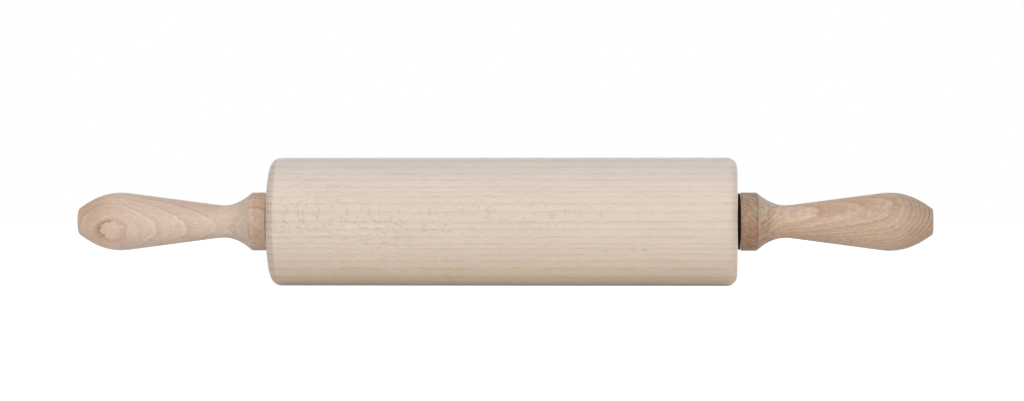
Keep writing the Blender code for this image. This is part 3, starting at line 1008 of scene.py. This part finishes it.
def axle_outline(settings):
    """Straight rod with chamfered tips and a knurled stretch in each handle."""
    end = settings.length / 2
    radius = settings.diameter / 2
    knurl = end - settings.knurl_length
    right_half = [(knurl + place, radius) for place in (0.0, *KNURL_FADE)]
    right_half += [(end - AXLE_CHAMFER, radius), (end, radius - AXLE_CHAMFER), (end, 0.0)]
    return list(reversed(mirrored(right_half, -1))) + right_half


def knurl_tooth(settings):
    """The share of the radius that the axle has at a place and a side: half of them are sunk."""
    end = settings.length / 2
    knurl_start = end - settings.knurl_length + sum(KNURL_FADE) / 2
    knurl_end = end - AXLE_CHAMFER / 2

    def tooth(place, number):
        sunk = knurl_start < abs(place) < knurl_end and number % 4 in (0, 3)
        return KNURL_SUNK if sunk else 1.0

    return tooth


def ring_outline(land, groove_side, start, end):
    """A bearing ring's section: its two ends and, between its lands, the balls' groove."""
    angle = math.degrees(math.asin(abs(land - PITCH_RADIUS) / GROOVE_RADIUS))
    half = arc((0.0, 0.0), GROOVE_RADIUS, 180 - angle, angle, steps=20)
    groove = [(place, PITCH_RADIUS + groove_side * rise) for place, rise in half]
    return start + groove + end


def ring_corner(side, radius, start, end):
    """Rounded edge of a bearing ring, with its middle at this radius."""
    middle = (side * (BEARING_HALF_WIDTH - RING_ROUNDING), radius)
    return arc(middle, RING_ROUNDING, start, end, steps=5)


def inner_ring_outline():
    half = BEARING_HALF_WIDTH
    corner = SHAFT_HOLE_RADIUS + RING_ROUNDING
    start = [*ring_corner(-1, corner, 270, 180), (-half, INNER_LAND_RADIUS)]
    end = [(half, INNER_LAND_RADIUS), *ring_corner(1, corner, 360, 270)]
    return ring_outline(INNER_LAND_RADIUS, -1, start, end)


def outer_ring_outline():
    half = BEARING_HALF_WIDTH
    ledge = SHIELD_INNER_FACE - SHIELD_GAP
    corner = RING_OUTER_RADIUS - RING_ROUNDING
    start = ring_corner(-1, corner, 90, 180)
    start += [(-half, LEDGE_RADIUS), (-ledge, LEDGE_RADIUS), (-ledge, OUTER_LAND_RADIUS)]
    end = [(ledge, OUTER_LAND_RADIUS), (ledge, LEDGE_RADIUS), (half, LEDGE_RADIUS)]
    end += ring_corner(1, corner, 0, 90)
    return ring_outline(OUTER_LAND_RADIUS, 1, start, end)


def shield_outline(thickness, face):
    """Pressed ring with a shallow step, on a ledge of the outer ring."""
    low = INNER_LAND_RADIUS + SHIELD_GAP
    high = LEDGE_RADIUS - SHIELD_GAP
    inside = SHIELD_INNER_FACE
    outside = SHIELD_INNER_FACE + thickness
    step = thickness * 0.25
    bend = low + (high - low) * 0.35
    points = [
        (inside, low),
        (outside - step, low),
        (outside - step, bend - step),
        (outside, bend + step),
        (outside, high - step),
        (outside - step, high),
        (inside, high),
    ]
    return mirrored(points, face)


def ball_middle(side, number):
    """Middle of a ball of the bearing at this side."""
    angle = math.tau * number / BALLS
    across = -PITCH_RADIUS * math.sin(angle)
    return Vector((side * BEARING_PLACE, across, AXIS_HEIGHT + PITCH_RADIUS * math.cos(angle)))


def ball_mesh(name, radius, middle):
    """A ball from a cube whose faces are split evenly and pushed out to the radius."""
    bm = bmesh.new()
    bmesh.ops.create_cube(bm, size=2.0)
    bmesh.ops.subdivide_edges(bm, edges=bm.edges, cuts=2**BALL_SPLITS - 1, use_grid_fill=True)
    for vert in bm.verts:
        even = Vector([math.tan(value * math.pi / 4) for value in vert.co])
        vert.co = even.normalized() * radius + middle
    mesh = bpy.data.meshes.new(name)
    bm.to_mesh(mesh)
    bm.free()
    return mesh


def cage_mesh(name, side):
    """A moulded ring with a round pocket for each ball."""
    inside = INNER_LAND_RADIUS + CAGE_GAP
    outside = OUTER_LAND_RADIUS - CAGE_GAP
    outline = [(-CAGE_MOUTH, inside), (CAGE_BACK, inside)]
    outline += [(CAGE_BACK, outside), (-CAGE_MOUTH, outside)]
    placed = shifted(mirrored(outline, side), side * BEARING_PLACE)
    uncut = add_object(name + "_uncut", finished(turned(name, placed, FINE_SIDES), None))
    cutters = []
    for number in range(BALLS):
        ball = ball_mesh(name + "_pocket", GROOVE_RADIUS, ball_middle(side, number))
        cutter = add_object(f"{name}_pocket_{number}", ball)
        cut = uncut.modifiers.new(f"pocket_{number}", "BOOLEAN")
        cut.operation = "DIFFERENCE"
        cut.object = cutter
        cutters.append(cutter)
    evaluated = uncut.evaluated_get(bpy.context.evaluated_depsgraph_get())
    mesh = bpy.data.meshes.new_from_object(evaluated)
    for helper in [uncut, *cutters]:
        bpy.data.objects.remove(helper)
    return mesh


class ROLLINGPIN_OT_barrel(bpy.types.Operator):
    """Turn the beech barrel with its bearing seats"""

    bl_idname = "rolling_pin.barrel"
    bl_label = "Barrel"

    def execute(self, context):
        settings = context.scene.pin_barrel
        early, late = settings.early_wood[:], settings.late_wood[:]
        wood = beech("barrel_beech", BARREL_CUT, early, late, settings)
        mesh = turned("turned_barrel", barrel_outline(settings), BARREL_SIDES)
        add_piece("turned_barrel", mesh, wood, "barrel", "barrel_beech", "barrel")
        return {"FINISHED"}


class ROLLINGPIN_OT_handles(bpy.types.Operator):
    """Turn the two beech handles"""

    bl_idname = "rolling_pin.handles"
    bl_label = "Handles"

    def execute(self, context):
        settings = context.scene.pin_handles
        blanks = {
            "left": (LEFT_CUT, settings.left_early[:], settings.left_late[:]),
            "right": (RIGHT_CUT, settings.right_early[:], settings.right_late[:]),
        }
        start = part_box("handle_right")[0].x
        for label, side in SIDES.items():
            wood = beech(f"handle_beech_{label}", *blanks[label], settings)
            outline = mirrored(handle_outline(settings, start), side)
            name = f"turned_handle_{label}"
            mesh = turned(name, outline, HANDLE_SIDES, closed=False)
            add_piece(name, mesh, wood, "handles", "handle_beech", f"handle_{label}")
        return {"FINISHED"}


class ROLLINGPIN_OT_washers(bpy.types.Operator):
    """Mould the black washers between barrel and handles"""

    bl_idname = "rolling_pin.washers"
    bl_label = "Washers"

    def execute(self, context):
        settings = context.scene.pin_washers
        plastic = moulded("washer_black", settings.color[:], roughness=0.6, gloss=0.08)
        low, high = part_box("washer_right")
        washer_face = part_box("barrel")[1].x + RUNNING_GAP
        outline = washer_outline(settings, low.x, washer_face, high.x)
        for label, side in SIDES.items():
            name = f"running_washer_{label}"
            node = f"washer_{label}"
            add_ring(name, outline, side, 0.0, plastic, "handles", "washer_black", node)
        return {"FINISHED"}


class ROLLINGPIN_OT_axle(bpy.types.Operator):
    """Draw the steel axle and knurl its ends"""

    bl_idname = "rolling_pin.axle"
    bl_label = "Axle"

    def execute(self, context):
        settings = context.scene.pin_axle
        metal = steel("axle_steel", settings.color[:], roughness=0.34, marks=(14.0, 0.25, 0.25))
        outline = axle_outline(settings)
        sides = settings.knurl_teeth * 4
        tooth = knurl_tooth(settings)
        mesh = turned("knurled_axle", outline, sides, closed=False, tooth=tooth)
        add_piece("knurled_axle", mesh, metal, "handles", "axle_steel", "axle_rod")
        return {"FINISHED"}


class ROLLINGPIN_OT_bearing_rings(bpy.types.Operator):
    """Grind the inner and outer rings of both bearings"""

    bl_idname = "rolling_pin.bearing_rings"
    bl_label = "Bearing rings"

    def execute(self, context):
        settings = context.scene.pin_bearings
        metal = steel("bearing_steel", settings.steel[:], roughness=0.16, marks=(0.3, 2.5, 2.5))
        rings = (
            ("inner_ring", inner_ring_outline(), "handles"),
            ("outer_ring", outer_ring_outline(), "barrel"),
        )
        for label, side in SIDES.items():
            for ring, outline, body in rings:
                node = f"{ring}_{label}"
                name = f"bearing_{node}"
                add_ring(name, outline, side, BEARING_PLACE, metal, body, "bearing_steel", node)
        return {"FINISHED"}


class ROLLINGPIN_OT_bearing_shields(bpy.types.Operator):
    """Press the four steel shields that close the bearings"""

    bl_idname = "rolling_pin.bearing_shields"
    bl_label = "Bearing shields"

    def execute(self, context):
        settings = context.scene.pin_bearings
        color = settings.shield_steel[:]
        metal = steel("shield_steel", color, roughness=0.28, marks=(0.4, 1.2, 1.2))
        for label, side in SIDES.items():
            for shield, face in (("outer_shield", 1), ("inner_shield", -1)):
                outline = shield_outline(settings.shield_thickness, face)
                node = f"{shield}_{label}"
                name = f"bearing_{node}"
                add_ring(name, outline, side, BEARING_PLACE, metal, "barrel", "bearing_steel", node)
        return {"FINISHED"}


class ROLLINGPIN_OT_ball_cages(bpy.types.Operator):
    """Mould the cages that keep the balls apart"""

    bl_idname = "rolling_pin.ball_cages"
    bl_label = "Ball cages"

    def execute(self, context):
        settings = context.scene.pin_bearings
        plastic = moulded("cage_polymer", settings.cage[:], roughness=0.5, gloss=0.5)
        for label, side in SIDES.items():
            node = f"ball_cage_{label}"
            name = f"bearing_cage_{label}"
            add_piece(name, cage_mesh(name, side), plastic, node, "cage_polymer", node)
        return {"FINISHED"}


class ROLLINGPIN_OT_bearing_balls(bpy.types.Operator):
    """Lap the balls of both bearings"""

    bl_idname = "rolling_pin.bearing_balls"
    bl_label = "Bearing balls"

    def execute(self, context):
        settings = context.scene.pin_bearings
        metal = steel("ball_steel", settings.steel[:], roughness=0.08, marks=(1.5, 1.5, 1.5))
        radius = settings.ball_diameter / 2
        for label, side in SIDES.items():
            for number in range(BALLS):
                node = f"ball_{label}_{number + 1}"
                name = f"bearing_{node}"
                mesh = ball_mesh(name, radius, ball_middle(side, number))
                add_piece(name, mesh, metal, f"ball_cage_{label}", "bearing_steel", node)
        return {"FINISHED"}


# The camera stands level, a little right of the middle, as the photo shows the pin
CAMERA_PLACE = (0.1107, -2.0971, 0.0456)
CAMERA_TURN = math.radians(2.9)
CAMERA_LENS = 137.8
CAMERA_SENSOR = 36.0
CAMERA_NEAR, CAMERA_FAR = 0.05, 50.0

# Each soft lamp has a setting of its own for the power, a place and a size
LAMPS = {
    "left": ((-1.9, -1.5, 0.8), (1.5, 1.2)),
    "right": ((1.9, -1.5, 0.8), (1.5, 1.2)),
    "fill": ((0.25, -2.6, 0.62), (1.8, 1.0)),
    "back": ((0.0, 2.6, 0.62), (1.8, 1.0)),
}
FLOOR_RADIUS = 6.0
FLOOR_SEGMENTS = 96


def glow(nodes, extra, base):
    """Strength of a light, with something extra for rays from the camera, gloss and glass."""
    path = nodes.node("ShaderNodeLightPath")
    seen = path.outputs["Is Camera Ray"]
    for kind in ("Is Glossy Ray", "Is Transmission Ray"):
        seen = nodes.math("MAXIMUM", seen, path.outputs[kind])
    return nodes.math("MULTIPLY_ADD", seen, extra, base)


def floor_material(settings):
    """Pale matt floor that reads white to the camera, apart from the shadow on it."""
    material = fresh(bpy.data.materials, "studio_floor")
    material.use_nodes = True
    material.node_tree.nodes.clear()
    nodes = Nodes(material.node_tree)
    paint = nodes.node("ShaderNodeBsdfDiffuse", (settings.floor_color[:],))
    light = nodes.node("ShaderNodeEmission")
    nodes.put(light.inputs["Strength"], glow(nodes, settings.floor_glow, 0.0))
    both = nodes.node("ShaderNodeAddShader", (paint.outputs[0], light.outputs[0]))
    nodes.node("ShaderNodeOutputMaterial", (both.outputs[0],))
    return material


def add_floor(settings):
    """Round floor under the pin, which is stage and no part of it."""
    bm = bmesh.new()
    bmesh.ops.create_circle(bm, cap_ends=True, radius=FLOOR_RADIUS, segments=FLOOR_SEGMENTS)
    mesh = bpy.data.meshes.new("studio_floor")
    bm.to_mesh(mesh)
    bm.free()
    mesh.materials.append(floor_material(settings))
    add_object("studio_floor", mesh)


def add_sky(settings):
    """Even white light from all round, seen as plain white."""
    world = fresh(bpy.data.worlds, "studio_white")
    bpy.context.scene.world = world
    world.use_nodes = True
    nodes = Nodes(world.node_tree)
    sky = world.node_tree.nodes["Background"]
    level = settings.sky_light
    nodes.put(sky.inputs["Color"], WHITE)
    nodes.put(sky.inputs["Strength"], glow(nodes, 1.0 - level, level))


def add_lamp(name, power, place, size):
    """Large soft lamp that points at the pin."""
    lamp = bpy.data.lights.new(name, "AREA")
    lamp.shape = "RECTANGLE"
    lamp.size, lamp.size_y = size
    lamp.energy = power
    lamp.color = WHITE
    made = add_object(name, lamp)
    made.location = place
    toward = Vector((0.0, 0.0, AXIS_HEIGHT)) - made.location
    made.rotation_euler = toward.to_track_quat("-Z", "Y").to_euler()


def add_camera():
    """The camera that sees the pin as the photo does."""
    lens = bpy.data.cameras.new("photo_camera")
    lens.sensor_width = CAMERA_SENSOR
    lens.lens = CAMERA_LENS
    lens.clip_start = CAMERA_NEAR
    lens.clip_end = CAMERA_FAR
    camera = add_object("photo_camera", lens)
    camera.location = CAMERA_PLACE
    camera.rotation_euler = (math.radians(90), 0.0, CAMERA_TURN)
    return camera


class ROLLINGPIN_OT_stage(bpy.types.Operator):
    """Set the pale floor, the soft studio light and the camera"""

    bl_idname = "rolling_pin.stage"
    bl_label = "Stage"

    def execute(self, context):
        settings = context.scene.pin_stage
        add_floor(settings)
        add_sky(settings)
        for label, (place, size) in LAMPS.items():
            add_lamp(f"{label}_lamp", getattr(settings, f"{label}_power"), place, size)
        context.scene.camera = add_camera()
        context.scene.view_settings.view_transform = "Standard"
        return {"FINISHED"}


OPERATORS = (
    ROLLINGPIN_OT_barrel,
    ROLLINGPIN_OT_handles,
    ROLLINGPIN_OT_washers,
    ROLLINGPIN_OT_axle,
    ROLLINGPIN_OT_bearing_rings,
    ROLLINGPIN_OT_bearing_shields,
    ROLLINGPIN_OT_ball_cages,
    ROLLINGPIN_OT_bearing_balls,
    ROLLINGPIN_OT_stage,
)


class ROLLINGPIN_PT_sidebar(bpy.types.Panel):
    """Sizes, colours and steps of the rolling pin"""

    bl_idname = "ROLLINGPIN_PT_sidebar"
    bl_label = "Rolling pin"
    bl_space_type = "VIEW_3D"
    bl_region_type = "UI"
    bl_category = "Rolling pin"

    def draw(self, context):
        for key, group in SETTINGS.items():
            box = self.layout.box()
            box.label(text=group.__doc__.rstrip("."))
            values = getattr(context.scene, key)
            for name in group.__annotations__:
                box.prop(values, name)
        for operator in OPERATORS:
            self.layout.operator(operator.bl_idname)


CLASSES = (*SETTINGS.values(), *OPERATORS, ROLLINGPIN_PT_sidebar)


def register():
    for each in CLASSES:
        bpy.utils.register_class(each)
    for key, group in SETTINGS.items():
        setattr(bpy.types.Scene, key, PointerProperty(type=group))


def unregister():
    for key in SETTINGS:
        delattr(bpy.types.Scene, key)
    for each in reversed(CLASSES):
        bpy.utils.unregister_class(each)


def main():
    register()
    bpy.ops.rolling_pin.stage()
    bpy.ops.rolling_pin.barrel()
    bpy.ops.rolling_pin.handles()
    bpy.ops.rolling_pin.washers()
    bpy.ops.rolling_pin.axle()
    bpy.ops.rolling_pin.bearing_rings()
    bpy.ops.rolling_pin.bearing_shields()
    bpy.ops.rolling_pin.ball_cages()
    bpy.ops.rolling_pin.bearing_balls()


if __name__ == "__main__":
    main()
